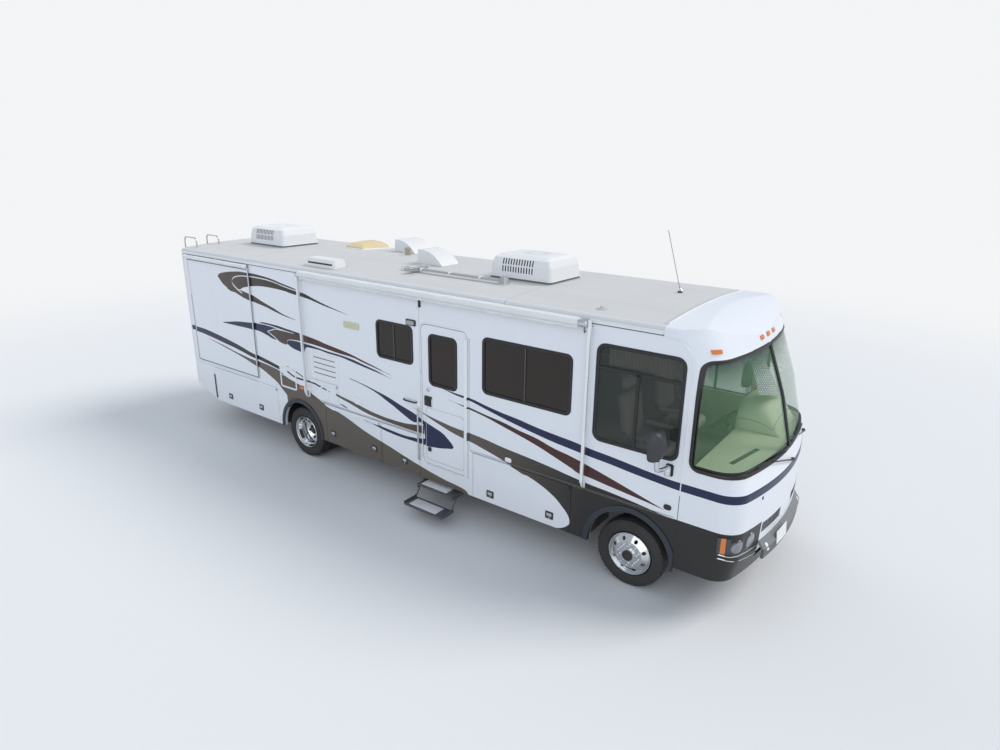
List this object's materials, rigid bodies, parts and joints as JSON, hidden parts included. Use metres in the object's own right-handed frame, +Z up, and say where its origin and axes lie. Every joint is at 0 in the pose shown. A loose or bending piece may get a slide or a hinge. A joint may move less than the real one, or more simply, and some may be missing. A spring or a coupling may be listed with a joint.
{
  "type": "class A motorhome",
  "caption": "Long bus-shaped motorhome with a wrap-round windscreen, entry door with folding step, slide-out room, storage doors, roof air conditioners and dual rear wheels.",
  "frame": {"origin": "on the ground below the middle of the coach", "axes": "+X forward, +Y left, +Z up"},
  "size_m": [10.3978, 3.27, 3.9308],
  "materials": {
    "body_white": "gloss gelcoat",
    "roof_membrane": "matt membrane",
    "charcoal_moulding": "satin moulding",
    "lamp_lens": "clear lens",
    "red_lens": "lamp lens",
    "amber_lens": "lamp lens",
    "bumper_grey": "dark grey bar",
    "floor_ply": "board",
    "black_steel": "satin black",
    "cast_iron": "as cast",
    "clear_glass": "tinted",
    "dark_glass": "dark tint",
    "awning_fabric": "vinyl",
    "cover_white": "moulded cover",
    "bright_metal": "bright tube",
    "mirror_housing": "grained black",
    "dash_plastic": "pale moulding",
    "seat_leather": "pale leather",
    "wheel_chrome": "polished",
    "tyre": "rubber",
    "step_steel": "grey paint"
  },
  "bodies": {
    "knuckle_right": {"knuckle_right": "cast_iron"},
    "knuckle_left": {"knuckle_left": "cast_iron"},
    "steering_wheel": {"steering_wheel": "mirror_housing"},
    "wheel_front_right": {"rim_front_right": "wheel_chrome", "tyre_front_right": "tyre"},
    "wheel_front_left": {"rim_front_left": "wheel_chrome", "tyre_front_left": "tyre"},
    "wheels_rear_right": {"rims_rear_right": "wheel_chrome", "tyres_rear_right": "tyre"},
    "wheels_rear_left": {"rims_rear_left": "wheel_chrome", "tyres_rear_left": "tyre"},
    "entry_door": {"entry_door": "body_white", "entry_door_glass": "dark_glass"},
    "slide_room": {"slide_room": "body_white", "slide_topper": "awning_fabric"},
    "step_arms": {"step_arms": "step_steel"},
    "step_upper": {"step_upper": "step_steel"},
    "step_links": {"step_links": "step_steel"},
    "step_lower": {"step_lower": "step_steel"},
    "utility_door": {"utility_door": "body_white"},
    "locker_door_right_rear": {"locker_door_right_rear": "body_white"},
    "locker_door_right_mid": {"locker_door_right_mid": "body_white"},
    "locker_door_right_step": {"locker_door_right_step": "body_white"},
    "locker_door_right_front": {"locker_door_right_front": "body_white"},
    "locker_door_left_rear": {"locker_door_left_rear": "body_white"},
    "locker_door_left_mid": {"locker_door_left_mid": "body_white"},
    "locker_door_left_front": {"locker_door_left_front": "body_white"},
    "coach": {"right_wall": "body_white", "left_wall": "body_white", "rear_wall": "body_white", "roof": "roof_membrane", "front_cap": "body_white", "front_valance": "charcoal_moulding", "headlamps": "lamp_lens", "grille": "body_white", "front_bumper": "bumper_grey", "floor": "floor_ply", "antennas": "bright_metal", "front_lamps": "amber_lens", "storage_trays": "floor_ply", "wheel_housings": "black_steel", "chassis_frame": "black_steel", "engine_block": "cast_iron", "fuel_tank": "black_steel", "leaf_springs": "black_steel", "front_axle": "cast_iron", "rear_axle": "cast_iron", "windshield": "clear_glass", "side_glass": "dark_glass", "awning": "awning_fabric", "air_conditioners": "cover_white", "roof_vents": "cover_white", "ladder": "bright_metal", "rear_bumper": "black_steel", "hitch_receiver": "black_steel", "rear_lamps": "red_lens", "mirrors": "mirror_housing", "dash": "dash_plastic", "seats": "seat_leather"}
  },
  "joints": [
    {"name": "steer_right", "type": "hinge", "parent": "coach", "child": "knuckle_right", "pos_m": [3.78, -0.905, 0.419], "axis": [0, 0, 1], "range_deg": [-38, 38]},
    {"name": "steer_left", "type": "hinge", "parent": "coach", "child": "knuckle_left", "pos_m": [3.78, 0.905, 0.419], "axis": [0, 0, 1], "range_deg": [-38, 38]},
    {"name": "steering_wheel_turn", "type": "hinge", "parent": "coach", "child": "steering_wheel", "pos_m": [4.15, 0.52, 1.64], "axis": [-0.6428, 0, 0.766], "range_deg": [-532, 532]},
    {"name": "roll_front_right", "type": "hinge", "parent": "knuckle_right", "child": "wheel_front_right", "pos_m": [3.78, -1.09, 0.419], "axis": [0, 1, 0], "continuous": true},
    {"name": "roll_front_left", "type": "hinge", "parent": "knuckle_left", "child": "wheel_front_left", "pos_m": [3.78, 1.09, 0.419], "axis": [0, 1, 0], "continuous": true},
    {"name": "roll_rear_right", "type": "hinge", "parent": "coach", "child": "wheels_rear_right", "pos_m": [-2.011, -1.1, 0.419], "axis": [0, 1, 0], "continuous": true},
    {"name": "roll_rear_left", "type": "hinge", "parent": "coach", "child": "wheels_rear_left", "pos_m": [-2.011, 1.1, 0.419], "axis": [0, 1, 0], "continuous": true},
    {"name": "entry_door_swing", "type": "hinge", "parent": "coach", "child": "entry_door", "pos_m": [1.447, -1.282, 1.6], "axis": [0, 0, 1], "range_deg": [0, 90]},
    {"name": "locker_right_rear_lift", "type": "hinge", "parent": "coach", "child": "locker_door_right_rear", "pos_m": [-3.5225, -1.282, 1.065], "axis": [-1, 0, 0], "range_deg": [0, 90]},
    {"name": "locker_right_mid_lift", "type": "hinge", "parent": "coach", "child": "locker_door_right_mid", "pos_m": [-0.79, -1.282, 1.065], "axis": [-1, 0, 0], "range_deg": [0, 90]},
    {"name": "locker_right_step_lift", "type": "hinge", "parent": "coach", "child": "locker_door_right_step", "pos_m": [0.21, -1.282, 1.065], "axis": [-1, 0, 0], "range_deg": [0, 90]},
    {"name": "locker_right_front_lift", "type": "hinge", "parent": "coach", "child": "locker_door_right_front", "pos_m": [2.275, -1.282, 1.065], "axis": [-1, 0, 0], "range_deg": [0, 90]},
    {"name": "locker_left_rear_lift", "type": "hinge", "parent": "coach", "child": "locker_door_left_rear", "pos_m": [-3.5225, 1.282, 1.065], "axis": [1, 0, 0], "range_deg": [0, 90]},
    {"name": "locker_left_mid_lift", "type": "hinge", "parent": "coach", "child": "locker_door_left_mid", "pos_m": [-0.295, 1.282, 1.065], "axis": [1, 0, 0], "range_deg": [0, 90]},
    {"name": "locker_left_front_lift", "type": "hinge", "parent": "coach", "child": "locker_door_left_front", "pos_m": [1.925, 1.282, 1.065], "axis": [1, 0, 0], "range_deg": [0, 90]},
    {"name": "utility_door_lift", "type": "hinge", "parent": "coach", "child": "utility_door", "pos_m": [-1.3975, -1.282, 1.424], "axis": [-1, 0, 0], "range_deg": [0, 90]},
    {"name": "slide_room_out", "type": "slide", "parent": "coach", "child": "slide_room", "axis": [0, -1, 0], "range_m": [0, 0.5]},
    {"name": "step_swing", "type": "hinge", "parent": "coach", "child": "step_arms", "pos_m": [0.96, -1.082, 0.499], "axis": [1, 0, 0], "range_deg": [0, 99.8]},
    {"name": "step_upper_level", "type": "hinge", "parent": "step_arms", "child": "step_upper", "pos_m": [0.96, -1.235, 0.37], "axis": [1, 0, 0], "range_deg": [-100.3, 0.5]},
    {"name": "step_link_swing", "type": "hinge", "parent": "step_upper", "child": "step_links", "pos_m": [0.96, -1.3233, 0.3424], "axis": [1, 0, 0], "range_deg": [-0.5, 117.2]},
    {"name": "step_lower_level", "type": "hinge", "parent": "step_links", "child": "step_lower", "pos_m": [0.96, -1.41, 0.22], "axis": [1, 0, 0], "range_deg": [-117.2, 0.5]}
  ],
  "couplings": [
    {"joint": "steer_left", "follows": "steer_right", "ratio": 1},
    {"joint": "steering_wheel_turn", "follows": "steer_right", "ratio": 14},
    {"joint": "step_upper_level", "follows": "step_swing", "ratio": -1},
    {"joint": "step_link_swing", "follows": "step_swing", "ratio": 1.1693},
    {"joint": "step_lower_level", "follows": "step_swing", "ratio": -1.1693}
  ]
}
